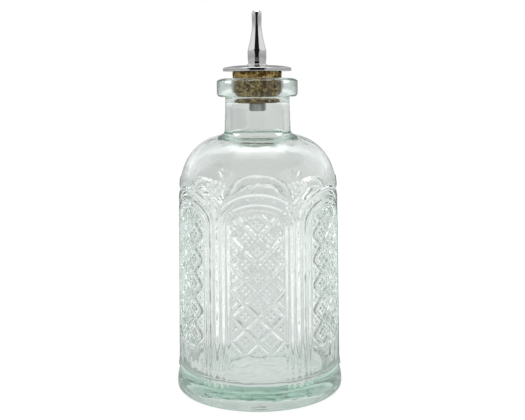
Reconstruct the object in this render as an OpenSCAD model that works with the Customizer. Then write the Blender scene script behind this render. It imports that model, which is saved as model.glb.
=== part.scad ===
/* [Bottle body] */
// Radius of the body's plain surface just under the shoulder
body_top_r = 34.3; // [28:0.1:42]
// Radius of the body's plain surface just above the foot
body_low_r = 35.5; // [28:0.1:42]
// Height of the straight body, from the foot's ridge to the start of the shoulder
body_h = 84.3; // [78:0.1:120]
// Rise of the domed shoulder, from the body to the neck
shoulder_h = 22.6; // [16:0.1:26]
// Distance from the axis at which the shoulder's curve is level
shoulder_level_r = 14.0; // [12:0.1:15]
// Thickness of the glass wall behind the relief
wall_t = 3.0; // [2:0.1:4]
// Thickness of the heavy glass base
base_t = 8.5; // [6:0.1:12]
// Radius of the round inside corner above the base
floor_round = 6.0; // [3:0.5:9]

/* [Foot] */
// Radius of the foot ring at its widest
foot_r = 37.2; // [36.6:0.1:46]
// Height of the foot ring's top ridge
foot_h = 6.7; // [5:0.1:10]
// Radius of the rounding between the foot's side and its underside
foot_round = 2.5; // [1:0.1:3]
// How far the foot's side draws in at its top ridge
foot_draw = 0.3; // [0.2:0.1:1.2]
// Height of the gentle hollow flare between the foot's ridge and the body
flare_h = 10.3; // [6:0.1:14]
// Width of the flat ring that the bottle stands on
stand_w = 4.5; // [3:0.1:7]
// Depth of the recess inside the standing ring
punt_h = 1.5; // [0.5:0.1:3]

/* [Neck and lip] */
// Outside radius of the neck under the lip
neck_r = 14.05; // [13.2:0.05:15]
// How much wider the neck is at its root
neck_flare = 0.4; // [0.2:0.1:1.2]
// Height of the neck, from the shoulder's top to the lip
neck_h = 16.45; // [14:0.05:40]
// Radius of the hollow curve where the neck meets the shoulder
neck_root = 2.2; // [0.8:0.1:3]
// Radius of the same curve on the inside of the glass
inner_root = 3.0; // [1.5:0.1:4]
// Inside radius of the neck below the cork
neck_bore_r = 11.4; // [11:0.1:12]
// Radius of the round lip
lip_r = 17.6; // [16.5:0.1:20]
// Height of the lip
lip_h = 8.1; // [6:0.1:10]
// Rounding of the lip's lower corner
lip_low_round = 1.6; // [0.5:0.1:2]
// Width of the rounded band round the lip's top
lip_top_round = 4.6; // [3:0.1:5.5]
// Height of the rounded band round the lip's top
lip_top_drop = 1.6; // [0.8:0.1:2.5]

/* [Relief] */
// Number of arched panels round the body
panels = 6; // [5:1:7]
// Height that the ribs stand proud of the body
rib_h = 0.75; // [0.4:0.05:1.2]
// Width of the arch ribs
rib_w = 1.1; // [0.7:0.05:1.6]
// Width of the upright ribs between two panels
post_w = 1.7; // [1:0.1:2.4]
// Distance from the shoulder's start down to the springing of the arches
arch_drop = 13.4; // [12:0.1:20]
// Half the width of the outer arch rib
outer_arch_r = 17.6; // [17.3:0.1:19]
// Height of the outer arch above its springing
outer_rise = 14.4; // [12:0.1:16]
// Half the width of the inner arch rib and its upright legs
inner_arch_r = 14.6; // [14:0.1:15.2]
// Height of the inner arch above its springing
inner_rise = 10.2; // [8:0.1:12]
// Half the width of the fine line inside the inner arch
fine_arch_r = 12.4; // [11.9:0.1:12.9]
// Width of the fine line inside the inner arch
fine_w = 0.6; // [0.4:0.05:0.9]
// Height that the lattice and the fine line stand proud of the body
lattice_h = 0.6; // [0.3:0.05:1]
// Width of the lattice bars
lattice_w = 1.5; // [0.8:0.05:2]
// Corner to corner size of one lattice cell
cell = 10.85; // [9:0.05:12]
// Height above the foot's ridge at which the upright ribs end
rib_start = 3.2; // [2.9:0.1:6]
// Height above the foot's ridge at which the lattice ends
lattice_start = 18.2; // [12:0.1:30]

/* [Cork] */
// Radius of the cork at its top
cork_r = 10.75; // [10.4:0.05:11]
// Length of the cork
cork_len = 13.4; // [11:0.1:18]
// How much smaller the cork's radius is at its lower end
cork_taper = 0.65; // [0.2:0.05:1]
// Length of cork that stands above the lip
cork_proud = 2.85; // [2:0.05:5]
// Size of the worn edge round the cork's top
cork_edge = 0.4; // [0.1:0.1:0.8]
// Width of the rounded edge round the cork's lower end
cork_round = 3.6; // [1:0.1:4]
// Height of the rounded edge round the cork's lower end
cork_round_h = 1.9; // [1:0.1:3]
// Clearance between the seated cork and the mouth of the bottle
seat_gap = 0.05; // [0.02:0.01:0.1]

/* [Dasher metalwork] */
// Radius of the domed drip disc
disc_r = 14.85; // [12:0.1:18]
// Thickness of the drip disc at its edge
disc_edge = 1.5; // [1:0.05:2]
// Rounding of the drip disc's rim
disc_round = 0.3; // [0.1:0.05:0.45]
// Rise of the drip disc's dome from its edge to its hub
disc_rise = 1.1; // [0.6:0.05:3]
// Radius of the raised hub that carries the spout
hub_r = 4.45; // [4.2:0.05:5.5]
// Height of the raised hub
hub_h = 0.5; // [0.2:0.05:1.2]
// Radius of the spout's collar
collar_r = 4.07; // [3.9:0.01:4.5]
// Height of the spout's collar
collar_h = 6.05; // [5.5:0.05:9]
// How much the collar draws in at its foot
collar_draw = 0.3; // [0.1:0.05:0.35]
// Height of the tapered spout above its collar
spout_h = 16.55; // [12:0.05:24]
// Radius of the spout at its rounded tip
tip_r = 2.17; // [1.9:0.01:2.6]
// Radius of the spout at its waist, just under the tip
waist_r = 2.05; // [1.8:0.01:2.15]
// Radius of the hole in the spout's tip
tip_bore_r = 0.95; // [0.6:0.05:1.2]
// Radius of the stem tube that runs through the cork
stem_r = 3.2; // [3:0.05:3.3]
// Wall of the stem tube
stem_wall = 0.5; // [0.4:0.05:0.8]
// Length of stem held in the collar
stem_grip = 4.9; // [3:0.1:5.2]
// Radius of the end cap under the cork
cap_r = 3.75; // [3.65:0.05:4.5]
// Height of the end cap
cap_h = 3.8; // [2.5:0.1:6]
// Thickness of the end cap's floor
cap_floor = 0.8; // [0.5:0.1:1.2]
// Radius of the small hole in the end cap that lets a dash through
dash_r = 0.8; // [0.4:0.05:1.2]
// Clearance round the stem where the cork, disc, spout and cap fit on it
stem_gap = 0.02; // [0.01:0.01:0.05]

/* [Hidden] */

// Facets of every round surface
fine = 120;
// Steps along a curved stretch of a turned outline, and along an arch rib
steps = 12;
arch_steps = 16;
// A little extra length so that a cut runs past the face it opens
over = 0.5;

// Heights up the bottle, each one stacked on the one before
body_z = foot_h + flare_h;
shoulder_z = foot_h + body_h;
neck_z = shoulder_z + shoulder_h;
lip_z = neck_z + neck_h;
mouth_z = lip_z + lip_h;
arch_z = shoulder_z - arch_drop;

// Heights up the stopper, from the cork's seat in the mouth
cork_top_z = mouth_z + cork_proud;
cork_low_z = cork_top_z - cork_len;
disc_z = cork_top_z;
hub_z = disc_z + disc_edge + disc_rise + hub_h;
collar_z = hub_z + collar_h;
tip_z = collar_z + spout_h;
stem_top_z = hub_z + stem_grip;
stem_low_z = cork_low_z - cap_h + cap_floor;

// Radius of the cork at height z, and of the cone in the mouth that it seats in
function cork_r_at(z) = cork_r - (cork_top_z - z) * cork_taper / cork_len;
function seat_r_at(z) = cork_r_at(z) + seat_gap;

// Points along an arc of an ellipse round (cr, cz), from angle a to angle b
function arc(cr, cz, rr, rz, a, b, n = steps) =
    [for (i = [0 : n]) let (t = a + (b - a) * i / n) [cr + rr * cos(t), cz + rz * sin(t)]];

// Turns an outline of [radius, height] points into a solid of revolution
module turned(points) {
    rotate_extrude($fn = fine) polygon(points);
}

// Points up the flare above the foot's ridge, with each radius swollen by grow
function flare(grow) = [for (i = [1 : 5]) let (t = i / 5)
    [body_low_r + grow + (foot_r - foot_draw - body_low_r) * pow(1 - t, 2), foot_h + flare_h * t]];

// Radius of the centre of the hollow curve at the neck's root, and the shoulder's angle under it
root_r = neck_r + neck_flare + neck_root;
shoulder_end = acos((root_r - shoulder_level_r) / (body_top_r - shoulder_level_r));

// Outline of the glass outside, without its relief
function outside() = concat(
    [[0, punt_h], [foot_r - foot_round - stand_w - punt_h, punt_h], [foot_r - foot_round - stand_w, 0]],
    arc(foot_r - foot_round, foot_round, foot_round, foot_round, -90, 0, 6),
    [[foot_r, foot_h * 0.6], [foot_r - foot_draw, foot_h]],
    flare(0),
    arc(shoulder_level_r, shoulder_z, body_top_r - shoulder_level_r, shoulder_h, 0, shoulder_end),
    arc(root_r, neck_z + neck_root, neck_root, neck_root, 255, 180, 5),
    [[neck_r + neck_flare * 0.35, neck_z + neck_h * 0.45]],
    [[neck_r, neck_z + neck_h * 0.65], [neck_r, lip_z]],
    arc(lip_r - lip_low_round, lip_z + lip_low_round, lip_low_round, lip_low_round, -90, 0, 5),
    arc(lip_r - lip_top_round, mouth_z - lip_top_drop, lip_top_round, lip_top_drop, 0, 90, 6),
    [[0, mouth_z]]
);

// Radius and height at which the inside of the shoulder is level
inner_level_r = neck_bore_r + inner_root;
inner_neck_z = neck_z - wall_t;
// Heights between which the bore narrows, inside the lip, to the cork's seat
seat_foot_z = lip_z + 0.2;
seat_low_z = seat_foot_z + 1.5;

// Outline of the hollow inside the glass, from the base to past the mouth
function inside() = concat(
    [[0, base_t]],
    arc(body_low_r - wall_t - floor_round, base_t + floor_round, floor_round, floor_round, -90, 0, 6),
    arc(inner_level_r, shoulder_z, body_top_r - wall_t - inner_level_r, shoulder_h - wall_t, 0, 87),
    arc(inner_level_r, inner_neck_z + inner_root, inner_root, inner_root, 270, 180, 6),
    [[neck_bore_r, seat_foot_z], [seat_r_at(seat_low_z), seat_low_z]],
    [[seat_r_at(mouth_z + over), mouth_z + over], [0, mouth_z + over]]
);

// Layer of glass, proud of the body by h, that the relief is cut from
module relief_layer(h) {
    relief_top = arc(shoulder_level_r, shoulder_z, body_top_r + h - shoulder_level_r, shoulder_h, 0, 8, 2);
    difference() {
        turned(concat([[0, foot_h]], flare(h), relief_top, [[0, relief_top[2][1]]]));
        turned([
            [0, foot_h - over],
            [body_low_r - wall_t / 2, foot_h - over],
            [body_low_r - wall_t / 2, body_z],
            [body_top_r - wall_t / 2, shoulder_z],
            [body_top_r - wall_t / 2, relief_top[2][1] + over],
            [0, relief_top[2][1] + over]
        ]);
    }
}

// Radial stretch that every upright relief shape covers
relief_in = body_top_r * cos(180 / panels) - wall_t;
relief_out = relief_in + body_low_r / 2;

// Sets a flat drawing of width by height upright on panel i, as deep as the relief needs
module on_panel(i) {
    rotate([0, 0, i * 360 / panels])
        translate([0, -relief_in, 0])
            rotate([90, 0, 0])
                linear_extrude(relief_out - relief_in) children();
}

// Flattened arch of half width r, as one band of width w with upright legs down to height low
module arch(r, rise, w, low) {
    out_r = r + w / 2;
    in_r = r - w / 2;
    polygon(concat(
        [[out_r, low]], arc(0, arch_z, out_r, rise + w / 2, 0, 180, arch_steps), [[-out_r, low]],
        [[-in_r, low]], arc(0, arch_z, in_r, rise - w / 2, 180, 0, arch_steps), [[in_r, low]]
    ));
}

// Outer arch rib, which springs from the upright ribs beside the panel
module outer_arch() {
    out_r = outer_arch_r + rib_w / 2;
    in_r = outer_arch_r - rib_w / 2;
    polygon(concat(
        arc(0, arch_z, out_r, outer_rise + rib_w / 2, 0, 180, arch_steps),
        arc(0, arch_z, in_r, outer_rise - rib_w / 2, 180, 0, arch_steps)
    ));
}

// Rows of half cells in the window, counted from the arch's top down to the lattice's end
window_w = 2 * cell;
lattice_low_z = foot_h + lattice_start;
fine_rise = inner_rise - (inner_arch_r - fine_arch_r);
first_cell_z = arch_z + fine_rise - fine_w - cell * 0.55;
rows = floor((first_cell_z - lattice_low_z) / (cell / 2));

// Lattice of crossed bars, cut to the arched window
module lattice() {
    intersection() {
        union() {
            translate([-window_w / 2, lattice_low_z]) square([window_w, arch_z - lattice_low_z]);
            intersection() {
                polygon(concat(
                    [[fine_arch_r, arch_z - over]],
                    arc(0, arch_z, fine_arch_r, fine_rise, 0, 180, arch_steps),
                    [[-fine_arch_r, arch_z - over]]
                ));
                translate([-window_w / 2, arch_z - over]) square([window_w, fine_rise + 2 * over]);
            }
        }
        union() {
            for (row = [-2 : 2 : rows + 3], side = [-1, 1])
                translate([0, first_cell_z + cell / 2 - row * cell / 2])
                    rotate([0, 0, side * 45])
                        square([2 * window_w, lattice_w], center = true);
        }
    }
}

// Moulded bottle: one piece of glass with its foot, arched panels, shoulder, neck and lip
module bottle() {
    color([0.8, 0.9, 0.86, 0.5]) difference() {
        union() {
            turned(outside());
            intersection() {
                relief_layer(rib_h);
                union() {
                    for (i = [0 : panels - 1]) {
                        on_panel(i) arch(inner_arch_r, inner_rise, rib_w, foot_h + rib_start);
                        on_panel(i) outer_arch();
                        on_panel(i + 0.5)
                            translate([-post_w / 2, foot_h + rib_start])
                                square([post_w, arch_z - foot_h - rib_start + outer_rise * 0.22]);
                    }
                }
            }
            intersection() {
                relief_layer(lattice_h);
                union() {
                    for (i = [0 : panels - 1]) {
                        on_panel(i) arch(fine_arch_r, fine_rise, fine_w, foot_h + rib_start);
                        on_panel(i) lattice();
                    }
                }
            }
        }
        turned(inside());
    }
}

// Tapered cork of pressed granules, bored for the stem
module cork() {
    side_low_z = cork_low_z + cork_round_h;
    side_low_r = cork_r_at(side_low_z);
    color([0.66, 0.54, 0.36]) difference() {
        turned(concat(
            [[0, cork_low_z]],
            arc(side_low_r - cork_round, side_low_z, cork_round, cork_round_h, -90, 0, 6),
            [[cork_r_at(cork_top_z - cork_edge), cork_top_z - cork_edge]],
            [[cork_r - cork_edge, cork_top_z], [0, cork_top_z]]
        ));
        translate([0, 0, cork_low_z - over])
            cylinder(r = stem_r + stem_gap, h = cork_len + 2 * over, $fn = fine);
    }
}

// Height of the disc's dome at a share of the way from its hub to its rim
function dome_z(share) = disc_z + disc_edge + disc_rise * (1 - pow(share, 2.6));

// Domed disc that catches drips and covers the cork, with a hub under the spout
module drip_disc() {
    rim_r = disc_r - disc_round;
    rim_z = disc_z + disc_edge - disc_round;
    dome_w = rim_r - hub_r;
    color([0.78, 0.78, 0.8]) difference() {
        turned(concat(
            [[0, disc_z]],
            arc(rim_r, disc_z + disc_round, disc_round, disc_round, -90, 0, 3),
            arc(rim_r, rim_z, disc_round, disc_round, 0, 60, 3),
            [for (i = [1 : steps]) let (w = dome_w * (1 - i / steps))
                [hub_r + w, dome_z(w / (disc_r - hub_r))]],
            [[hub_r - hub_h / 3, hub_z], [0, hub_z]]
        ));
        translate([0, 0, disc_z - over])
            cylinder(r = stem_r + stem_gap, h = hub_z - disc_z + 2 * over, $fn = fine);
    }
}

// Share of the spout's height at which its waist lies
waist_share = 0.64;
waist_z = collar_z + spout_h * waist_share;

// Spout outside: a collar, a flare that narrows to the waist, and a rounded tip
module spout() {
    flare_r = collar_r - 0.15;
    color([0.8, 0.8, 0.82]) difference() {
        turned(concat(
            [[0, hub_z], [collar_r - collar_draw, hub_z], [collar_r, hub_z + collar_h * 0.4]],
            [[collar_r, collar_z], [flare_r, collar_z + 0.15]],
            [for (i = [1 : steps]) let (t = i / steps)
                [waist_r + (flare_r - waist_r) * pow(1 - t, 1.5), collar_z + (waist_z - collar_z) * t]],
            [[tip_r, tip_z - tip_r * 0.9]],
            arc(tip_bore_r, tip_z - tip_r * 0.55, tip_r - tip_bore_r, tip_r * 0.55, 0, 90, 5),
            [[0, tip_z]]
        ));
        turned([
            [0, hub_z - over],
            [stem_r + stem_gap, hub_z - over],
            [stem_r + stem_gap, stem_top_z],
            [stem_r - stem_wall, stem_top_z],
            [tip_bore_r, waist_z],
            [tip_bore_r, tip_z + over],
            [0, tip_z + over]
        ]);
    }
}

// Stem tube from the end cap through the cork and the disc into the spout's collar
module stem_tube() {
    color([0.7, 0.7, 0.72]) translate([0, 0, stem_low_z]) difference() {
        cylinder(r = stem_r, h = stem_top_z - stem_low_z, $fn = fine);
        translate([0, 0, -over])
            cylinder(r = stem_r - stem_wall, h = stem_top_z - stem_low_z + 2 * over, $fn = fine);
    }
}

// Cap on the stem's lower end, which holds the cork up against the disc and meters the dash
module end_cap() {
    color([0.6, 0.62, 0.6]) translate([0, 0, cork_low_z - cap_h]) difference() {
        cylinder(r = cap_r, h = cap_h, $fn = fine);
        translate([0, 0, cap_floor]) cylinder(r = stem_r + stem_gap, h = cap_h, $fn = fine);
        translate([0, 0, -over]) cylinder(r = dash_r, h = cap_h, $fn = fine);
    }
}

bottle();
cork();
drip_disc();
spout();
stem_tube();
end_cap();
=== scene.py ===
# %% [markdown]
# A bitters bottle is pressed from one gob of glass in a carved mould, and a cork dasher stopper
# is pushed into its mouth. The solids of every piece come ready made, in metres, standing on the
# origin with the front panel towards -Y. This script keeps them where they are and dresses each
# one in a finer mesh and a real finish.

# %% Load the solids
import math

import bmesh
import bpy
import numpy as np
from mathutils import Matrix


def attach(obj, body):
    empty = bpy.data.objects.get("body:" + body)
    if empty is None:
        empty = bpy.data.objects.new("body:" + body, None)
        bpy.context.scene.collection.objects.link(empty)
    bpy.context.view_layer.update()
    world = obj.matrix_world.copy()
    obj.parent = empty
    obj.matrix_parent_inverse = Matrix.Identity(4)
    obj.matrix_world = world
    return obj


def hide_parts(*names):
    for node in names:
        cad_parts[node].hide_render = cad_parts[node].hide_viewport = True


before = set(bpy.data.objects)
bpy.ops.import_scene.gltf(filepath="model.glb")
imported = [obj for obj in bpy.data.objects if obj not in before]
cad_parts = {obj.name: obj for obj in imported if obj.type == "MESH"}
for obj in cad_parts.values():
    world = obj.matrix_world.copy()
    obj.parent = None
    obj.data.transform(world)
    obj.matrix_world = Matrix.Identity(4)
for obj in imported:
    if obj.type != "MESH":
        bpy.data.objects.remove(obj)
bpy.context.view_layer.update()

MM = 0.001

# %% [markdown]
# Every piece of this bottle is round, so each one starts as an outline of radius and height, in
# millimetres, as a mould maker or a turner would draw it. Real edges are never quite sharp, and
# glass and chrome show every edge by its highlight, so one helper draws arcs and another eases
# the corners of an outline. Easing in the outline costs fewer faces than a bevel on the mesh.

# %% Helpers for outlines
def arc(centre_r, centre_z, reach_r, reach_z, start, end, steps):
    """Points along an arc of an ellipse, from one angle to another, in degrees."""
    turns = [math.radians(start + (end - start) * i / steps) for i in range(steps + 1)]
    return [(centre_r + reach_r * math.cos(t), centre_z + reach_z * math.sin(t)) for t in turns]


def eased(outline, reach, steps=3, closed=True):
    """The outline with every corner that turns more than 20 degrees drawn as a small curve."""
    made = []
    count = len(outline)
    for i, here in enumerate(outline):
        if not closed and i in (0, count - 1):
            made.append(here)
            continue
        here = np.array(here, float)
        before = np.array(outline[i - 1], float) - here
        after = np.array(outline[(i + 1) % count], float) - here
        long_before, long_after = np.linalg.norm(before), np.linalg.norm(after)
        turn = math.acos(max(-1.0, min(1.0, -before @ after / (long_before * long_after))))
        if turn < math.radians(20):
            made.append(tuple(here))
            continue
        start = here + before / long_before * min(reach, long_before * 0.45)
        end = here + after / long_after * min(reach, long_after * 0.45)
        for j in range(steps + 1):
            t = j / steps
            made.append(tuple((1 - t) ** 2 * start + 2 * t * (1 - t) * here + t * t * end))
    return made


# %% [markdown]
# The metal pieces and the cork are turned: their outline is spun round the axis. Blender can do
# that with the Screw modifier, but a few lines of numpy give the same faces in a known order,
# closed, with their outsides out. All of these pieces have a hole through them, so the outline
# is a loop that never touches the axis and the mesh has no pole to pinch.

# %% Helpers for meshes
def shape(name, points, faces):
    """A new object at the origin from points in millimetres."""
    mesh = bpy.data.meshes.new(name)
    mesh.from_pydata([tuple(p) for p in np.array(points, float) * MM], [], faces)
    mesh.validate()
    piece = bpy.data.objects.new(name, mesh)
    bpy.context.scene.collection.objects.link(piece)
    return piece


def turned(name, outline, sides):
    """Spins a closed loop of radius and height round the axis."""
    rows = len(outline)
    angles = np.arange(sides) * 2 * math.pi / sides
    points = [
        (r * math.sin(a), -r * math.cos(a), z) for r, z in outline for a in angles
    ]
    faces = []
    for i in range(rows):
        low, high = i * sides, (i + 1) % rows * sides
        for j in range(sides):
            k = (j + 1) % sides
            faces.append((low + j, low + k, high + k, high + j))
    return shape(name, points, faces)


def smooth(piece):
    """Shades the whole piece smooth."""
    piece.data.polygons.foreach_set("use_smooth", [True] * len(piece.data.polygons))
    piece.data.update()
    return piece


def report(piece):
    """Prints the piece's size and whether its mesh is closed."""
    mesh = bmesh.new()
    mesh.from_mesh(piece.data)
    open_edges = sum(1 for e in mesh.edges if len(e.link_faces) != 2)
    volume = mesh.calc_volume(signed=True) / MM**3
    triangles = sum(len(f.verts) - 2 for f in mesh.faces)
    mesh.free()
    print(f"{piece.name}: {triangles} triangles, {open_edges} open edges, {volume:.1f} mm3")


# %% [markdown]
# A pressed bottle's mould is cut in equal panels, and this one has six. Each panel holds a round
# arch with mouldings inside it and a trellis of crossed bars, and small fans sit between the
# arches. Modelling one panel and repeating it is what the mould maker did, and it keeps the six
# alike. First comes the plain outline of the glass, cut where the way it is meshed changes.

# %% Sizes of the bottle, in millimetres
PANELS = 6
PUNT_R, PUNT_Z = 28.7, 1.5
STAND_IN_R, STAND_OUT_R = 30.2, 34.7
FOOT_R, FOOT_ROUND = 37.2, 2.5
FOOT_TOP_R, FOOT_TOP_Z = 36.9, 6.7
BASE_Z = 8.5
BODY_LOW_R, BODY_TOP_R = 35.5, 34.3
BODY_Z, SHOULDER_Z, SHOULDER_H = 17.0, 91.0, 22.6
SHOULDER_LEVEL_R = 14.0
NECK_Z, LIP_Z, MOUTH_Z = 113.6, 130.05, 138.15
NECK_R, NECK_ROOT, ROOT_R = 14.05, 2.2, 16.65
BORE_R, INNER_ROOT = 11.4, 3.0
ARCH_Z = 77.6
HALF_PANEL = 18.12
POST_LOW_Z = 9.9
CELL = 10.85
FIRST_CELL_Z, TRELLIS_LOW_Z = 79.08, 24.9
FAN_Z, FAN_TOP_Z = 88.6, 99.6


def skin_radius(z):
    """Radius of the plain outside of the body and shoulder at height z."""
    if z < BODY_Z:
        fall = (BODY_Z - z) / (BODY_Z - FOOT_TOP_Z)
        return BODY_LOW_R + (FOOT_TOP_R - BODY_LOW_R) * fall * fall
    if z <= SHOULDER_Z:
        return BODY_LOW_R + (BODY_TOP_R - BODY_LOW_R) * (z - BODY_Z) / (SHOULDER_Z - BODY_Z)
    rise = min(1.0, (z - SHOULDER_Z) / SHOULDER_H)
    return SHOULDER_LEVEL_R + (BODY_TOP_R - SHOULDER_LEVEL_R) * math.sqrt(1 - rise * rise)


foot = eased(
    [(PUNT_R, PUNT_Z), (STAND_IN_R, 0.0)]
    + arc(STAND_OUT_R, FOOT_ROUND, FOOT_ROUND, FOOT_ROUND, -90, 0, 8)
    + [(FOOT_R, 4.0), (FOOT_TOP_R, FOOT_TOP_Z), (skin_radius(7.6), 7.6)],
    0.5, closed=False,
)
start_angle = math.degrees(math.asin((FAN_TOP_Z - SHOULDER_Z) / SHOULDER_H))
shoulder = arc(SHOULDER_LEVEL_R, SHOULDER_Z, BODY_TOP_R - SHOULDER_LEVEL_R, SHOULDER_H,
               start_angle, 82.3, 15)
neck = (
    arc(ROOT_R, NECK_Z + NECK_ROOT, NECK_ROOT, NECK_ROOT, 252, 180, 8)
    + [(14.36, 118.0), (14.2, 121.0), (14.08, 124.3), (NECK_R, 127.5)]
)
lip = eased(
    [(NECK_R, LIP_Z)] + arc(16.0, 131.65, 1.6, 1.6, -90, 0, 7)
    + arc(13.0, 136.55, 4.6, 1.6, 0, 90, 10) + [(10.66, MOUTH_Z)],
    0.5, closed=False,
)[:-1]
inside = (
    [(11.05, MOUTH_Z - 0.02), (10.78, MOUTH_Z - 0.15), (10.66, MOUTH_Z - 0.5)]
    + [(10.5, 134.8), (10.37, 131.9), (10.5, 131.5), (11.25, 130.5), (BORE_R, 130.0)]
    + [(BORE_R, 125.0), (BORE_R, 119.0)]
    + arc(BORE_R + INNER_ROOT, NECK_Z, INNER_ROOT, INNER_ROOT, 180, 268, 7)
    + arc(14.4, SHOULDER_Z, 16.9, 19.6, 86, 0, 14)
    + [(31.6, 72.0), (31.93, 51.0), (32.23, 32.0)]
    + arc(26.5, 14.5, 6.0, 6.0, 0, -90, 9)
    + [(18.0, BASE_Z), (9.0, BASE_Z)]
)
print("outline rows:", len(foot), len(shoulder), len(neck), len(lip), len(inside))

# %% [markdown]
# The carving is a height above the plain glass for every point of a panel, found from the
# distance to the middle of each rib. A rounded rib catches the light as pressed glass does. Half
# a panel is enough to describe, because the left half is its mirror image. An arch is given by
# half its width and its rise, and a rib by its width and height.

# %% Sizes of the carving, in millimetres
OUTER_ARCH, OUTER_RIB = (18.3, 14.4), (2.5, 0.6)
INNER_ARCH, INNER_RIB = (15.0, 10.2), (2.1, 0.66)
FINE_ARCH, FINE_RIB = (12.7, 7.9), (1.7, 0.32)
WINDOW, FAN_LIMIT = (11.1, 6.3), (19.3, 15.4)
POST_RIB, TRELLIS_RIB = (3.0, 0.62), (2.4, 0.6)
LOBE_REACH, LOBE = 1.3, (2.3, 0.5)


# %% Height of the carving
def rib(distance, width, height):
    """A rounded rib of this width and height round the line that distance is measured from."""
    inside_rib = np.abs(distance) < width / 2
    return np.where(inside_rib, height * 0.5 * (1 + np.cos(2 * np.pi * distance / width)), 0.0)


def arched(s, z, half, rise):
    """Distance from a flattened arch that stands on upright legs, less than 0 inside it."""
    up = z - ARCH_Z
    share = np.maximum(np.hypot(s / half, up / rise), 1e-6)
    slope = np.hypot(s / half**2, up / rise**2) / share
    return np.where(up > 0, (share - 1) / slope, np.abs(s) - half)


def fan(s, z):
    """A small fan of five leaves between two arches, with two beads under it."""
    height = np.zeros_like(s)
    across, up = s - HALF_PANEL, z - FAN_Z
    for lean in (-34, -17, 0, 17, 34):
        a = math.radians(lean)
        along = across * math.sin(a) + up * math.cos(a)
        aside = across * math.cos(a) - up * math.sin(a)
        swell = np.clip((along - 2.2) / 4.6, 0, 1)
        width = 0.75 + 1.0 * swell
        ends = np.clip((along - 1.8) / 0.8, 0, 1) * np.clip((7.9 - along) / 0.9, 0, 1)
        height = np.maximum(height, rib(aside, width, 0.42) * ends)
    for bead_z, size in ((0.2, 1.9), (-2.4, 1.6)):
        height = np.maximum(height, rib(np.hypot(across, up - bead_z), size, 0.45))
    for side in (-1, 1):
        a = math.radians(118)
        along = side * across * math.sin(a) + up * math.cos(a)
        aside = side * across * math.cos(a) - up * math.sin(a)
        ends = np.clip((along - 0.9) / 0.7, 0, 1) * np.clip((3.9 - along) / 0.7, 0, 1)
        height = np.maximum(height, rib(aside, 1.3, 0.35) * ends)
    return height


def carving(s, z):
    """Height of the carving, in millimetres, s along the panel from its middle and z up it."""
    s = np.abs(s)
    upright = np.clip((z - POST_LOW_Z) / 0.7, 0, 1)
    outer = arched(s, z, *OUTER_ARCH)
    ribs = [
        rib(outer, *OUTER_RIB) * (z > ARCH_Z),
        rib(s - HALF_PANEL, *POST_RIB) * (outer < 0.4) * upright,
        rib(arched(s, z, *INNER_ARCH), *INNER_RIB) * upright,
        rib(arched(s, z, *FINE_ARCH), *FINE_RIB) * upright,
    ]
    in_arch = np.clip(-arched(s, z, *WINDOW) / 0.5, 0, 1)
    window = in_arch * np.clip((z - TRELLIS_LOW_Z) / 0.6, 0, 1)
    pitch = CELL / math.sqrt(2)
    trellis = np.zeros_like(s)
    boss = np.zeros_like(s)
    u, v = (s + (z - FIRST_CELL_Z)) / math.sqrt(2), (s - (z - FIRST_CELL_Z)) / math.sqrt(2)
    for w in (u, v):
        trellis = np.maximum(trellis, rib((np.mod(w / pitch, 1) - 0.5) * pitch, *TRELLIS_RIB))
    du, dv = (np.mod(w / pitch + 0.5, 1) * pitch - pitch / 2 for w in (u, v))
    for a in (0, 90, 180, 270):
        lobe_u = LOBE_REACH * math.cos(math.radians(a + 45))
        lobe_v = LOBE_REACH * math.sin(math.radians(a + 45))
        boss = np.maximum(boss, rib(np.hypot(du - lobe_u, dv - lobe_v), *LOBE))
    ribs += [trellis * window, boss * window]
    ribs.append(fan(s, z) * (arched(s, z, *FAN_LIMIT) > 0))
    return np.maximum.reduce(ribs)


# %% [markdown]
# The panel's mesh is a grid whose squares match the trellis, so that its slanting bars run along
# their diagonals and stay crisp. Each square is cut along the diagonal whose two ends are nearest
# in height. Plain parts of the glass need fewer columns, so rows of different counts are laced
# together, as a knitter takes stitches in.

# %% Mesh of one panel, from the foot to the lip and down the inside
FINE, PLAIN, INNER = 80, 24, 18
step = CELL / 24
body_rows = [7.6, 8.8, 9.9, 10.25, 10.6, 12.2, 14.2, 17.0, 20.5, 23.5]
z = TRELLIS_LOW_Z - 0.4
while z < FAN_TOP_Z - step:
    body_rows.append(z)
    z += step
print("carved rows:", len(body_rows))

rings = [[(0.0, PUNT_Z, 0.0, 0.0)]]


def add_ring(r, z, columns, carved=False):
    """Adds one row of the panel, with the height of the carving at each of its points."""
    turns = (np.arange(columns + 1) / columns - 0.5) * 2 * math.pi / PANELS
    heights = np.zeros(columns + 1)
    if carved:
        heights = carving(turns * HALF_PANEL * PANELS / math.pi, np.full(columns + 1, z))
    rings.append([(r, z, t, h) for t, h in zip(turns, heights)])


add_ring(14.0, PUNT_Z, INNER)
for r, z in foot[:-1]:
    add_ring(r, z, PLAIN)
for z in body_rows:
    add_ring(skin_radius(z), z, FINE, carved=True)
for r, z in shoulder + neck + lip:
    add_ring(r, z, PLAIN)
outer_rings = len(rings)
for r, z in inside:
    add_ring(r, z, INNER)
rings.append([(0.0, BASE_Z, 0.0, 0.0)])


def lace(low, high):
    """Triangles between two rows of (first index, columns, heights)."""
    (a, n, below), (b, m, above) = low, high
    made = []
    if n == m and n > 0:
        for j in range(n):
            if abs(below[j] - above[j + 1]) <= abs(below[j + 1] - above[j]):
                made += [(a + j, a + j + 1, b + j + 1), (a + j, b + j + 1, b + j)]
            else:
                made += [(a + j, a + j + 1, b + j), (a + j + 1, b + j + 1, b + j)]
        return made
    i = j = 0
    while i < n or j < m:
        if j >= m or (i < n and (i + 1) * m <= (j + 1) * n):
            made.append((a + i, a + i + 1, b + j))
            i += 1
        else:
            made.append((a + i, b + j + 1, b + j))
            j += 1
    return made


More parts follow.
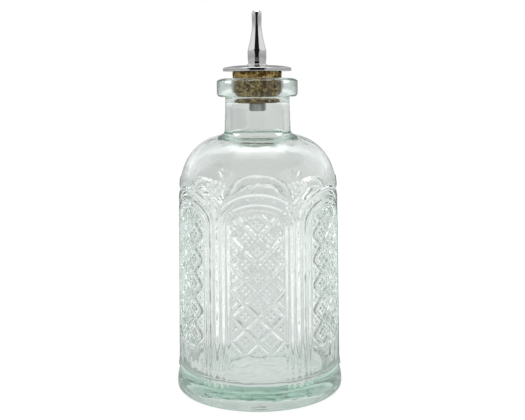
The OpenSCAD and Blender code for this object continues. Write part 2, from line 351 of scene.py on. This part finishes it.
points, heights, hollow, faces, rows = [], [], [], [], []
for number, ring in enumerate(rings):
    rows.append((len(points), len(ring) - 1, [h for _, _, _, h in ring]))
    points += [(r * math.sin(t), -r * math.cos(t), z) for r, z, t, _ in ring]
    heights += [h for _, _, _, h in ring]
    hollow += [float(number >= outer_rings)] * len(ring)
for low, high in zip(rows, rows[1:]):
    faces += lace(low, high)
panel = shape("bottle_panel", points, faces)
mark = panel.data.attributes.new("carving", "FLOAT", "POINT")
mark.data.foreach_set("value", np.array(heights, np.float32))
mark = panel.data.attributes.new("hollow", "FLOAT", "POINT")
mark.data.foreach_set("value", np.array(hollow, np.float32))
print("one panel:", len(faces), "triangles, carving up to", round(max(heights), 2), "mm")

# %% [markdown]
# Geometry Nodes lift the carving off the plain glass and repeat the panel round the axis, so the
# number of panels and the depth of the mould are two inputs that can be changed by hand. The
# panels are then real faces, merged where they meet.

# %% Helpers for node trees
def add(tree, kind, **settings):
    """A new node, with its settings."""
    node = tree.nodes.new(kind)
    for key, value in settings.items():
        setattr(node, key, value)
    return node


def feed(tree, node, **values):
    """Sets or links a node's inputs, named with underscores for spaces."""
    for key, value in values.items():
        numbered = key[1:].isdigit()
        socket = node.inputs[int(key[1:]) if numbered else key.replace("_", " ")]
        if isinstance(value, bpy.types.NodeSocket):
            tree.links.new(value, socket)
        else:
            socket.default_value = value
    return node


def maths(tree, operation, *values):
    """A Math node that puts out one number."""
    node = add(tree, "ShaderNodeMath", operation=operation)
    feed(tree, node, **{f"_{i}": v for i, v in enumerate(values)})
    return node.outputs[0]


def new_tree(name, sockets):
    """A geometry tree with a mesh coming in and going out, and named inputs between."""
    tree = bpy.data.node_groups.new(name, "GeometryNodeTree")
    tree.interface.new_socket("Mesh", in_out="INPUT", socket_type="NodeSocketGeometry")
    for label, kind in sockets:
        tree.interface.new_socket(label, in_out="INPUT", socket_type=kind)
    tree.interface.new_socket("Mesh", in_out="OUTPUT", socket_type="NodeSocketGeometry")
    return tree, add(tree, "NodeGroupInput"), add(tree, "NodeGroupOutput")


def run_tree(piece, tree, **values):
    """Runs the tree on the piece with its named inputs, and keeps the result as a plain mesh."""
    modifier = piece.modifiers.new(tree.name, "NODES")
    modifier.node_group = tree
    for item in tree.interface.items_tree:
        key = item.name.replace(" ", "_")
        if item.in_out == "INPUT" and key in values:
            modifier[item.identifier] = values[key]
    graph = bpy.context.evaluated_depsgraph_get()
    mesh = bpy.data.meshes.new_from_object(piece.evaluated_get(graph))
    piece.modifiers.remove(modifier)
    piece.data = mesh
    return piece


# %% The tree that repeats a moulded panel
def panel_tree():
    """Lifts the carving and repeats the panel round the axis."""
    tree, given, out = new_tree("repeat_moulded_panel", [
        ("Panels", "NodeSocketInt"), ("Depth", "NodeSocketFloat"),
        ("Finish", "NodeSocketMaterial"),
    ])
    carved = add(tree, "GeometryNodeInputNamedAttribute", data_type="FLOAT")
    feed(tree, carved, Name="carving")
    place = add(tree, "GeometryNodeInputPosition")
    flat = feed(tree, add(tree, "ShaderNodeVectorMath", operation="MULTIPLY"),
                _0=place.outputs[0], _1=(1, 1, 0))
    outward = feed(tree, add(tree, "ShaderNodeVectorMath", operation="NORMALIZE"),
                   _0=flat.outputs[0])
    lift = maths(tree, "MULTIPLY", carved.outputs[0], given.outputs["Depth"])
    offset = feed(tree, add(tree, "ShaderNodeVectorMath", operation="SCALE"),
                  _0=outward.outputs[0], Scale=lift)
    moved = feed(tree, add(tree, "GeometryNodeSetPosition"),
                 Geometry=given.outputs["Mesh"], Offset=offset.outputs[0])
    line = feed(tree, add(tree, "GeometryNodeMeshLine", mode="OFFSET"),
                Count=given.outputs["Panels"], Offset=(0, 0, 0))
    turn = maths(tree, "DIVIDE", 2 * math.pi, given.outputs["Panels"])
    number = add(tree, "GeometryNodeInputIndex")
    angle = maths(tree, "MULTIPLY", number.outputs[0], turn)
    rotation = feed(tree, add(tree, "ShaderNodeCombineXYZ"), Z=angle)
    copies = feed(tree, add(tree, "GeometryNodeInstanceOnPoints"), Points=line.outputs[0],
                  Instance=moved.outputs[0], Rotation=rotation.outputs[0])
    real = feed(tree, add(tree, "GeometryNodeRealizeInstances"), Geometry=copies.outputs[0])
    merged = feed(tree, add(tree, "GeometryNodeMergeByDistance"),
                  Geometry=real.outputs[0], Distance=0.000002)
    soft = feed(tree, add(tree, "GeometryNodeSetShadeSmooth"), Geometry=merged.outputs[0])
    glazed = feed(tree, add(tree, "GeometryNodeSetMaterial"),
                  Geometry=soft.outputs[0], Material=given.outputs["Finish"])
    tree.links.new(glazed.outputs[0], out.inputs[0])
    return tree


# %% [markdown]
# Colours are written as the eye reads them, 0 to 255, and turned into the plain light values that
# a shader works in. Two finishes share one effect, the faint unevenness of a hand-worked surface,
# so it is a shader group with its own inputs.

# %% Helpers for finishes
def tone(red, green, blue):
    """A colour read as 0 to 255, as light values."""
    def light(c):
        c /= 255
        return c / 12.92 if c <= 0.04045 else ((c + 0.055) / 1.055) ** 2.4
    return (light(red), light(green), light(blue), 1.0)


def finish(name):
    """A new material with its Principled shader."""
    made = bpy.data.materials.new(name)
    made.use_nodes = True
    return made, made.node_tree, made.node_tree.nodes["Principled BSDF"]


def unevenness():
    """Shader group: slow waves and fine marks, as heights and as a mask."""
    tree = bpy.data.node_groups.new("surface_unevenness", "ShaderNodeTree")
    for label, kind in (("Place", "NodeSocketVector"), ("Wave Scale", "NodeSocketFloat"),
                        ("Mark Scale", "NodeSocketFloat"), ("Mark Share", "NodeSocketFloat")):
        tree.interface.new_socket(label, in_out="INPUT", socket_type=kind)
    for label in ("Height", "Marks"):
        tree.interface.new_socket(label, in_out="OUTPUT", socket_type="NodeSocketFloat")
    given, out = add(tree, "NodeGroupInput"), add(tree, "NodeGroupOutput")
    waves = feed(tree, add(tree, "ShaderNodeTexNoise"), Vector=given.outputs["Place"],
                 Scale=given.outputs["Wave Scale"], Detail=2.0)
    marks = feed(tree, add(tree, "ShaderNodeTexNoise"), Vector=given.outputs["Place"],
                 Scale=given.outputs["Mark Scale"], Detail=4.0)
    share = maths(tree, "MULTIPLY", marks.outputs[0], given.outputs["Mark Share"])
    tree.links.new(maths(tree, "ADD", waves.outputs[0], share), out.inputs["Height"])
    tree.links.new(marks.outputs[0], out.inputs["Marks"])
    return tree


UNEVEN = unevenness()


def place_of(tree):
    """The Object coordinates that every pattern here is laid out in."""
    return add(tree, "ShaderNodeTexCoord").outputs["Object"]


def uneven(tree, wave_scale, mark_scale, mark_share):
    """One use of the unevenness group."""
    node = add(tree, "ShaderNodeGroup", node_tree=UNEVEN)
    return feed(tree, node, Place=place_of(tree), Wave_Scale=wave_scale,
                Mark_Scale=mark_scale, Mark_Share=mark_share)


# %% [markdown]
# The bottle's glass is clear with a pale green tint, which only shows where light travels far
# through it, at the foot and at the lip. So the colour is mostly in the volume, which takes a
# little of the red away over each centimetre, and only slightly in the surface. The skin of
# pressed glass is never flat, so a faint wave bends the highlights. The inside, which no mould
# has touched, is wavier still beside the carving, and the attribute hollow says where that is.

# %% Bottle glass
def bottle_glass():
    """Clear glass with a green depth, smooth outside and wavy inside."""
    made, tree, shader = finish("bottle_glass")
    skin = uneven(tree, 90.0, 420.0, 0.25)
    feed(tree, shader, Base_Color=(0.955, 0.965, 0.958, 1), Roughness=0.015, IOR=1.5,
         Transmission_Weight=1.0)
    within = add(tree, "ShaderNodeAttribute", attribute_name="hollow").outputs["Fac"]
    place = place_of(tree)
    swirl = feed(tree, add(tree, "ShaderNodeTexNoise"), Vector=place, Scale=150.0, Detail=1.0)
    high = feed(tree, add(tree, "ShaderNodeSeparateXYZ"), Vector=place).outputs["Z"]
    depth = feed(tree, add(tree, "ShaderNodeMapRange"), Value=high,
                 From_Min=0.082, From_Max=0.094, To_Min=4.0, To_Max=0.8)
    inner_wave = maths(tree, "MULTIPLY", maths(tree, "MULTIPLY", swirl.outputs[0], within),
                       depth.outputs[0])
    wave = feed(tree, add(tree, "ShaderNodeBump"), Strength=0.25, Distance=0.0006,
                Height=maths(tree, "ADD", skin.outputs["Height"], inner_wave))
    tree.links.new(wave.outputs[0], shader.inputs["Normal"])
    body = feed(tree, add(tree, "ShaderNodeVolumeAbsorption"),
                Color=(0.515, 0.715, 0.63, 1), Density=24.0)
    output = next(n for n in tree.nodes if n.type == "OUTPUT_MATERIAL")
    tree.links.new(body.outputs[0], output.inputs["Volume"])
    return made


GLASS = bottle_glass()
bottle = run_tree(panel, panel_tree(), Panels=PANELS, Depth=MM, Finish=GLASS)
bottle.name = bottle.data.name = "moulded_bottle"
report(bottle)

# %% [markdown]
# The cork is pressed from granules: crumbs of bark in every brown from straw to black, with pits
# where crumbs have fallen out. Its shape is a plain taper, so it is turned, and Geometry Nodes
# press pits into its skin. The colour is a separate matter for the material, which gives every
# crumb a brown of its own and paints the shade inside pits as dark spots.

# %% Sizes of the stopper, in millimetres
CORK_LOW_Z, CORK_TOP_Z = 127.6, 141.0
CORK_R = 10.75
HUB_Z, COLLAR_Z, WAIST_Z, TIP_Z = 144.1, 150.15, 160.74, 166.7
STEM_R, STEM_BORE_R = 3.2, 2.7
STEM_HOLE_R = STEM_R + 0.02
STEM_LOW_Z, STEM_TOP_Z = 124.6, 149.0


# %% Cork finish
def cork_finish():
    """Pressed crumbs of bark, each in its own brown, with dark seams, and pits painted dark as
    their shade.
    """
    made, tree, shader = finish("agglomerated_cork")
    place = place_of(tree)
    drift = feed(tree, add(tree, "ShaderNodeTexNoise"), Vector=place, Scale=900.0, Detail=2.0)
    nudged = feed(tree, add(tree, "ShaderNodeVectorMath", operation="MULTIPLY_ADD"),
                  _0=drift.outputs["Color"], _1=(0.0007, 0.0007, 0.0007), _2=place)
    crumbs = feed(tree, add(tree, "ShaderNodeTexVoronoi"), Vector=nudged.outputs[0], Scale=900.0)
    pick = feed(tree, add(tree, "ShaderNodeSeparateColor"), Color=crumbs.outputs["Color"])
    browns = add(tree, "ShaderNodeValToRGB")
    feed(tree, browns, Fac=pick.outputs[0])
    ramp = browns.color_ramp
    ramp.interpolation = "LINEAR"
    stops = [(0.0, tone(70, 44, 12)), (0.22, tone(136, 102, 40)), (0.5, tone(190, 153, 76)),
             (0.75, tone(218, 188, 110)), (1.0, tone(236, 216, 156))]
    ramp.elements[0].position, ramp.elements[0].color = stops[0]
    ramp.elements[1].position, ramp.elements[1].color = stops[-1]
    for position, colour in stops[1:-1]:
        ramp.elements.new(position).color = colour
    grain = feed(tree, add(tree, "ShaderNodeTexNoise"), Vector=place, Scale=2600.0, Detail=3.0)
    seams = feed(tree, add(tree, "ShaderNodeTexVoronoi", feature="DISTANCE_TO_EDGE"),
                 Vector=nudged.outputs[0], Scale=900.0)
    seam = feed(tree, add(tree, "ShaderNodeMapRange"), Value=seams.outputs["Distance"],
                From_Min=0.0, From_Max=0.09, To_Min=0.45, To_Max=1.0)
    shade = maths(tree, "MULTIPLY", seam.outputs[0],
                  maths(tree, "MULTIPLY_ADD", grain.outputs[0], 0.9, 0.5))
    # Painted shade: near-black spots stand for the shade inside pits in the cork.
    pits = feed(tree, add(tree, "ShaderNodeTexNoise"), Vector=place, Scale=1000.0, Detail=1.0)
    pit = feed(tree, add(tree, "ShaderNodeMapRange"), Value=pits.outputs[0],
               From_Min=0.60, From_Max=0.67, To_Min=1.0, To_Max=0.12)
    dark = maths(tree, "MULTIPLY", shade, pit.outputs[0])
    mixed = feed(tree, add(tree, "ShaderNodeVectorMath", operation="SCALE"),
                 _0=browns.outputs[0], Scale=dark)
    rough = feed(tree, add(tree, "ShaderNodeBump"), Strength=0.7, Distance=0.0003, Height=dark)
    feed(tree, shader, Base_Color=mixed.outputs[0], Normal=rough.outputs[0])
    feed(tree, shader, Roughness=maths(tree, "MULTIPLY_ADD", grain.outputs[0], 0.2, 0.75))
    return made


# %% The tree that presses pits into cork
def pit_tree():
    """Presses small pits into the skin, but not into the bore that holds the stem."""
    tree, given, out = new_tree("press_pits", [
        ("Pit Depth", "NodeSocketFloat"), ("Pits per Metre", "NodeSocketFloat"),
        ("Seed", "NodeSocketFloat"), ("Bore", "NodeSocketFloat"), ("Finish", "NodeSocketMaterial"),
    ])
    place = add(tree, "GeometryNodeInputPosition").outputs[0]
    shift = feed(tree, add(tree, "ShaderNodeCombineXYZ"), X=given.outputs["Seed"])
    moved = feed(tree, add(tree, "ShaderNodeVectorMath", operation="ADD"),
                 _0=place, _1=shift.outputs[0])
    noise = feed(tree, add(tree, "ShaderNodeTexNoise"), Vector=moved.outputs[0],
                 Scale=given.outputs["Pits per Metre"], Detail=2.0)
    pit = feed(tree, add(tree, "ShaderNodeMapRange", interpolation_type="SMOOTHSTEP"),
               Value=noise.outputs[0], From_Min=0.52, From_Max=0.68)
    flat = feed(tree, add(tree, "ShaderNodeVectorMath", operation="MULTIPLY"),
                _0=place, _1=(1, 1, 0))
    reach = add(tree, "ShaderNodeVectorMath", operation="LENGTH")
    feed(tree, reach, _0=flat.outputs[0])
    skin = maths(tree, "GREATER_THAN", reach.outputs["Value"], given.outputs["Bore"])
    depth = maths(tree, "MULTIPLY", maths(tree, "MULTIPLY", pit.outputs[0], skin),
                  given.outputs["Pit Depth"])
    inward = feed(tree, add(tree, "ShaderNodeVectorMath", operation="SCALE"),
                  _0=add(tree, "GeometryNodeInputNormal").outputs[0],
                  Scale=maths(tree, "MULTIPLY", depth, -1.0))
    pressed = feed(tree, add(tree, "GeometryNodeSetPosition"),
                   Geometry=given.outputs["Mesh"], Offset=inward.outputs[0])
    soft = feed(tree, add(tree, "GeometryNodeSetShadeSmooth"), Geometry=pressed.outputs[0])
    real = feed(tree, add(tree, "GeometryNodeRealizeInstances"), Geometry=soft.outputs[0])
    barked = feed(tree, add(tree, "GeometryNodeSetMaterial"),
                  Geometry=real.outputs[0], Material=given.outputs["Finish"])
    tree.links.new(barked.outputs[0], out.inputs[0])
    return tree


def between(start, end, steps):
    """Evenly spaced points from start to end, without the end."""
    return [tuple(np.array(start) + (np.array(end) - np.array(start)) * i / steps)
            for i in range(steps)]


cork_outline = (
    between((STEM_HOLE_R, CORK_LOW_Z), (6.59, CORK_LOW_Z), 8)
    + arc(6.59, 129.5, 3.6, 1.9, -90, 0, 14)
    + between((10.21, 129.8), (CORK_R, CORK_TOP_Z - 0.3), 36)
    + between((CORK_R, CORK_TOP_Z - 0.3), (CORK_R - 0.3, CORK_TOP_Z), 2)
    + between((CORK_R - 0.3, CORK_TOP_Z), (STEM_HOLE_R, CORK_TOP_Z), 12)
    + between((STEM_HOLE_R, CORK_TOP_Z), (STEM_HOLE_R, CORK_LOW_Z), 4)
)
cork = run_tree(turned("pressed_cork", cork_outline, 180), pit_tree(), Pit_Depth=0.3 * MM,
                Pits_per_Metre=620.0, Seed=0.37, Bore=4.2 * MM, Finish=cork_finish())
report(cork)

# %% [markdown]
# The drip disc and the spout are brass plated with chrome, polished bright, so they are almost
# all reflection. Plating is a little thinner and duller where fingers rub it, and dust and tiny
# scratches break up the polish, so the roughness is uneven. The tube and the cap under the cork
# are plain steel, turned and left satin.

# %% Metal finishes
def metal(name, colour, roughness, spread, wave_scale, depth):
    """A metal finish whose polish is uneven."""
    made, tree, shader = finish(name)
    wear = uneven(tree, wave_scale, 2400.0, 0.12)
    rough = feed(tree, add(tree, "ShaderNodeMapRange"), Value=wear.outputs["Marks"],
                 From_Min=0.35, From_Max=0.7, To_Min=roughness, To_Max=roughness + spread)
    film = feed(tree, add(tree, "ShaderNodeMapRange"), Value=wear.outputs["Marks"],
                From_Min=0.3, From_Max=0.75, To_Min=1.0, To_Max=0.93)
    dull = feed(tree, add(tree, "ShaderNodeVectorMath", operation="SCALE"),
                _0=colour[:3], Scale=film.outputs[0])
    bent = feed(tree, add(tree, "ShaderNodeBump"), Strength=0.3, Distance=depth,
                Height=wear.outputs["Height"])
    feed(tree, shader, Base_Color=dull.outputs[0], Metallic=1.0, Roughness=rough.outputs[0],
         Normal=bent.outputs[0])
    return made


CHROME = metal("chrome_plate", (0.80, 0.80, 0.81, 1), 0.04, 0.07, 160.0, 0.00002)
STEEL = metal("plain_steel", (0.46, 0.47, 0.46, 1), 0.26, 0.12, 500.0, 0.00004)

# %% [markdown]
# The drip disc is a thin domed washer with a raised hub. The spout screws on above it: a collar,
# a flare that narrows to a waist, and a rounded tip with a small hole. The same curves as in the
# solids are drawn here with many more points, so their reflections run smoothly.

# %% Drip disc, spout, stem tube and end cap
DISC_R, DISC_EDGE, DISC_ROUND, DISC_RISE, HUB_R = 14.85, 1.5, 0.25, 1.1, 4.45
rim_r = DISC_R - DISC_ROUND
dome = []
for i in range(1, 25):
    r = max(HUB_R, rim_r - (rim_r - HUB_R) * i / 24)
    share = (r - HUB_R) / (DISC_R - HUB_R)
    dome.append((r, CORK_TOP_Z + DISC_EDGE + DISC_RISE * (1 - share ** 2.6)))
disc_outline = eased(
    [(STEM_HOLE_R, CORK_TOP_Z), (9.0, CORK_TOP_Z)]
    + arc(rim_r, CORK_TOP_Z + DISC_ROUND, DISC_ROUND, DISC_ROUND, -90, 0, 5)
    + arc(rim_r, CORK_TOP_Z + DISC_EDGE - DISC_ROUND, DISC_ROUND, DISC_ROUND, 0, 70, 5)
    + dome + [(HUB_R - 0.05, HUB_Z - 0.12), (HUB_R - 0.2, HUB_Z), (STEM_HOLE_R, HUB_Z)],
    0.08,
)
drip_disc = smooth(turned("domed_drip_disc", disc_outline, 160))

COLLAR_R, WAIST_R, TIP_R, TIP_BORE_R = 4.07, 2.05, 2.17, 0.95
flare = []
for i in range(1, 29):
    t = i / 28
    flare.append((WAIST_R + (COLLAR_R - 0.15 - WAIST_R) * (1 - t) ** 1.5,
                  COLLAR_Z + 0.12 + (WAIST_Z - COLLAR_Z - 0.12) * t))
spout_outline = eased(
    [(STEM_HOLE_R, HUB_Z), (COLLAR_R - 0.42, HUB_Z), (COLLAR_R - 0.3, HUB_Z + 0.15)]
    + [(COLLAR_R - 0.12, HUB_Z + 1.4), (COLLAR_R - 0.02, HUB_Z + 2.4), (COLLAR_R, HUB_Z + 3.4)]
    + [(COLLAR_R, COLLAR_Z - 0.25), (COLLAR_R - 0.15, COLLAR_Z + 0.12)] + flare
    + [(2.10, 162.8), (TIP_R, TIP_Z - 1.95)]
    + arc(TIP_BORE_R, TIP_Z - 1.19, TIP_R - TIP_BORE_R, 1.19, 0, 90, 10)
    + [(TIP_BORE_R, TIP_Z - 0.5), (TIP_BORE_R, WAIST_Z), (STEM_BORE_R, STEM_TOP_Z)]
    + [(STEM_HOLE_R, STEM_TOP_Z)],
    0.06,
)
spout = smooth(turned("dasher_spout", spout_outline, 160))

stem_outline = eased(
    [(STEM_BORE_R, STEM_LOW_Z), (STEM_R, STEM_LOW_Z),
     (STEM_R, STEM_TOP_Z), (STEM_BORE_R, STEM_TOP_Z)],
    0.1,
)
stem_tube = smooth(turned("stem_tube_fine", stem_outline, 128))

CAP_R, CAP_LOW_Z, DASH_R = 3.75, 123.8, 0.8
cap_outline = eased(
    [(DASH_R, CAP_LOW_Z), (CAP_R - 0.5, CAP_LOW_Z), (CAP_R - 0.12, CAP_LOW_Z + 0.12)]
    + [(CAP_R, CAP_LOW_Z + 0.5), (CAP_R, CORK_LOW_Z), (STEM_HOLE_R, CORK_LOW_Z)]
    + [(STEM_HOLE_R, STEM_LOW_Z), (DASH_R, STEM_LOW_Z)],
    0.15,
)
end_cap = smooth(turned("stem_end_cap", cap_outline, 128))
for piece, metal_finish in (
    (drip_disc, CHROME), (spout, CHROME), (stem_tube, STEEL), (end_cap, STEEL),
):
    piece.data.materials.append(metal_finish)
    report(piece)

# %% [markdown]
# Each fine piece now stands for its solid and moves with it: the bottle stays on the table, and
# everything on the stopper rides with the stopper. The finish of each piece is named after the
# material slot that the record gives it.

# %% Let every piece ride
for piece, body, node, slot in (
    (bottle, "bottle", "bottle", "bottle_glass"),
    (cork, "stopper", "cork", "agglomerated_cork"),
    (drip_disc, "stopper", "drip_disc", "chrome_plate"),
    (spout, "stopper", "spout", "chrome_plate"),
    (stem_tube, "stopper", "stem_tube", "plain_steel"),
    (end_cap, "stopper", "end_cap", "plain_steel"),
):
    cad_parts[node].data.materials.clear()
    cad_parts[node].data.materials.append(piece.data.materials[0])
    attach(piece, body)
    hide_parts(node)
    print(piece.name, "rides on", body, "and stands for", node)

# %% [markdown]
# The photograph is a white product shot. Glass shows its carving only by what it bends into view,
# so light that passes through glass meets levels of its own, as if a photographer had hung cards
# round it: grey card straight behind, open white on the near floor beside it, dark walls at the
# two sides and a dimmer room towards the camera. Chrome meets a pale room with a soft box
# overhead and a dark column where the camera stands. To the camera itself everything is white.

# %% Floor, world, lamps and camera
def flag(tree, *names):
    """1 where the ray is of one of these kinds."""
    path = add(tree, "ShaderNodeLightPath")
    value = path.outputs[names[0]]
    for name in names[1:]:
        value = maths(tree, "MAXIMUM", value, path.outputs[name])
    return value


def between_levels(tree, value, low, high, at_low, at_high):
    """A level that runs smoothly from at_low to at_high as value goes from low to high."""
    node = add(tree, "ShaderNodeMapRange", interpolation_type="SMOOTHSTEP")
    feed(tree, node, Value=value, From_Min=low, From_Max=high, To_Min=at_low, To_Max=at_high)
    return node.outputs[0]


def choose(tree, switch, no, yes):
    """One number or another, by a switch of 0 to 1."""
    node = add(tree, "ShaderNodeMix", data_type="FLOAT")
    for socket, value in zip((0, 2, 3), (switch, no, yes)):
        feed(tree, node, **{f"_{socket}": value})
    return node.outputs[0]


CARD, OPEN, SIDES, FRONT = 0.74, 1.55, 0.3, 0.66
CAMERA_DARK, SOFT_BOX = 0.01, 4.5


def studio_world():
    """White to the camera, with its own levels for light off chrome and through glass."""
    world = bpy.data.worlds.new("white_studio")
    bpy.context.scene.world = world
    world.use_nodes = True
    tree = world.node_tree
    look = add(tree, "ShaderNodeTexCoord").outputs["Generated"]
    parts = feed(tree, add(tree, "ShaderNodeSeparateXYZ"), Vector=look)
    side = maths(tree, "ARCTAN2", parts.outputs["X"], parts.outputs["Y"])
    height = maths(tree, "DEGREES", maths(tree, "ARCSINE", parts.outputs["Z"]))
    away = maths(tree, "DEGREES", maths(tree, "ABSOLUTE", side))
    ahead = between_levels(tree, height, 1, 6, 0.76, 1.1)
    through = choose(tree, between_levels(tree, away, 55, 75, 0.0, 1.0), ahead, SIDES)
    through = choose(tree, between_levels(tree, away, 105, 130, 0.0, 1.0), through, FRONT)
    through = choose(tree, between_levels(tree, height, 12, 25, 0.0, 1.0), through, 0.8)
    mirror = between_levels(tree, height, 0, 6, 0.42, 0.62)
    mirror = maths(tree, "ADD", mirror, between_levels(tree, height, 6, 18, 0.0, 0.28))
    behind = maths(tree, "MULTIPLY", between_levels(tree, away, 30, 50, 1.0, 0.0),
                   between_levels(tree, height, 7, 12, 0.0, 1.0))
    mirror = choose(tree, behind, mirror, 0.32)
    room_width = maths(tree, "ADD", between_levels(tree, height, 1, 7, 24, 34),
                       between_levels(tree, height, 36, 41, 0, 80))
    from_camera = maths(tree, "SUBTRACT", 180.0, away)
    dark = between_levels(tree, maths(tree, "SUBTRACT", from_camera, room_width), -2, 2, 1.0, 0.0)
    mirror = choose(tree, dark, mirror, CAMERA_DARK)
    above = maths(tree, "MAXIMUM", parts.outputs["Z"], 0.05)
    lean = maths(tree, "DIVIDE", parts.outputs["Y"], above)
    wide = maths(tree, "DIVIDE", maths(tree, "ABSOLUTE", parts.outputs["X"]), above)
    box = maths(tree, "MULTIPLY", between_levels(tree, wide, 0.3, 0.55, 1.0, 0.0),
                maths(tree, "MULTIPLY", between_levels(tree, lean, -0.5, 0.1, 0.0, 1.0),
                      between_levels(tree, lean, 0.45, 0.75, 1.0, 0.0)))
    mirror = choose(tree, box, mirror, SOFT_BOX)
    level = choose(tree, flag(tree, "Is Glossy Ray"), 0.72, mirror)
    level = choose(tree, flag(tree, "Is Transmission Ray"), level, through)
    level = choose(tree, flag(tree, "Is Camera Ray"), level, 1.0)
    background = tree.nodes["Background"]
    feed(tree, background, Color=(1, 1, 1, 1), Strength=level)


def white_table():
    """A white table that keeps the bottle's shadow, and glows with painted light where glass or
    chrome shows it.
    """
    half = 2.5
    mesh = bpy.data.meshes.new("white_table")
    mesh.from_pydata([(-half, -half, 0), (half, -half, 0), (half, half, 0), (-half, half, 0)], [],
                     [(0, 1, 2, 3)])
    table = bpy.data.objects.new("white_table", mesh)
    table.location.z = 0.00005
    bpy.context.scene.collection.objects.link(table)
    made, tree, shader = finish("white_table_top")
    tree.nodes.remove(shader)
    paint = feed(tree, add(tree, "ShaderNodeBsdfDiffuse"), Color=(0.9, 0.9, 0.9, 1))
    parts = feed(tree, add(tree, "ShaderNodeSeparateXYZ"), Vector=place_of(tree))
    across = maths(tree, "ABSOLUTE", parts.outputs["X"])
    behind = parts.outputs["Y"]
    reach = maths(tree, "SQRT", maths(tree, "ADD", maths(tree, "MULTIPLY", across, across),
                                      maths(tree, "MULTIPLY", behind, behind)))
    away = maths(tree, "DEGREES", maths(tree, "ARCTAN2", across, behind))
    aside = maths(tree, "MULTIPLY_ADD", behind, -0.08, across)
    # Painted light: seen through the glass, the table glows at set levels. It is pale right round
    # the foot, with a grey card strip straight behind and open white beyond it to about half a
    # metre. It is dark at the sides, dimmer towards the camera and grey far off.
    far = between_levels(tree, parts.outputs["X"], -0.15, 0.15, 0.66, 0.78)
    bright = choose(tree, between_levels(tree, reach, 0.48, 0.6, 0.0, 1.0), OPEN, far)
    bright = choose(tree, between_levels(tree, away, 45, 70, 0.0, 1.0), bright, SIDES)
    bright = choose(tree, between_levels(tree, away, 105, 130, 0.0, 1.0), bright, FRONT)
    through = choose(tree, between_levels(tree, aside, 0.03, 0.05, 0.0, 1.0), CARD, bright)
    through = choose(tree, between_levels(tree, reach, 0.04, 0.13, 0.0, 1.0), 0.86, through)
    # Painted reflection: in chrome the table glows grey, with a dark column where the camera
    # stands.
    dark = maths(tree, "MULTIPLY", between_levels(tree, away, 150, 154, 0.0, 1.0),
                 between_levels(tree, reach, 0.4, 0.5, 0.0, 1.0))
    mirror = choose(tree, dark, 0.5, 0.02)
    level = choose(tree, flag(tree, "Is Transmission Ray"), mirror, through)
    level = choose(tree, flag(tree, "Is Camera Ray"), level, 1.06)
    glow = feed(tree, add(tree, "ShaderNodeEmission"), Color=(1, 1, 1, 1), Strength=level)
    seen = flag(tree, "Is Camera Ray", "Is Glossy Ray", "Is Transmission Ray")
    mixed = add(tree, "ShaderNodeMixShader")
    feed(tree, mixed, _0=maths(tree, "MULTIPLY", seen, 0.88),
         _1=paint.outputs[0], _2=glow.outputs[0])
    output = next(n for n in tree.nodes if n.type == "OUTPUT_MATERIAL")
    tree.links.new(mixed.outputs[0], output.inputs["Surface"])
    mesh.materials.append(made)


def lamp(name, watts, size, place):
    """A soft square lamp that looks at the middle of the bottle."""
    data = bpy.data.lights.new(name, "AREA")
    data.energy, data.size = watts, size
    made = bpy.data.objects.new(name, data)
    made.location = place
    back = made.location - type(made.location)((0, 0, 0.08))
    made.rotation_euler = back.to_track_quat("Z", "Y").to_euler()
    made.visible_glossy = made.visible_transmission = made.visible_camera = False
    bpy.context.scene.collection.objects.link(made)


studio_world()
white_table()
lamp("left_softbox", 2.6, 0.6, (-0.6, -0.55, 0.65))
lamp("right_softbox", 1.4, 0.6, (0.7, -0.35, 0.5))

# %% [markdown]
# The camera stands close, level with the stopper, and looks down a little at the body, so the
# foot shows as an ellipse while the disc is seen almost from its edge. Light inside the thick base
# bounces many times before it leaves, and a path cut short would show as black, so the limits on
# bounces are raised.

# %% Camera, colours and bounces
CAMERA_REACH, CAMERA_SIDE, CAMERA_TIP, CAMERA_ROLL = 0.3782, 0.87, 8.53, 0.45
view = bpy.data.cameras.new("product_view")
view.sensor_width, view.lens = 36.0, 58.97
camera = bpy.data.objects.new("product_view", view)
bpy.context.scene.collection.objects.link(camera)
side = math.radians(CAMERA_SIDE)
camera.location = (CAMERA_REACH * math.sin(side), -CAMERA_REACH * math.cos(side), 0.1368)
camera.rotation_euler = (
    math.radians(90 - CAMERA_TIP), math.radians(CAMERA_ROLL), math.radians(CAMERA_SIDE - 0.35)
)
bpy.context.scene.camera = camera
bpy.context.scene.view_settings.view_transform = "Standard"
bpy.context.scene.cycles.max_bounces = 24
bpy.context.scene.cycles.transmission_bounces = 20
bpy.context.scene.cycles.glossy_bounces = 16
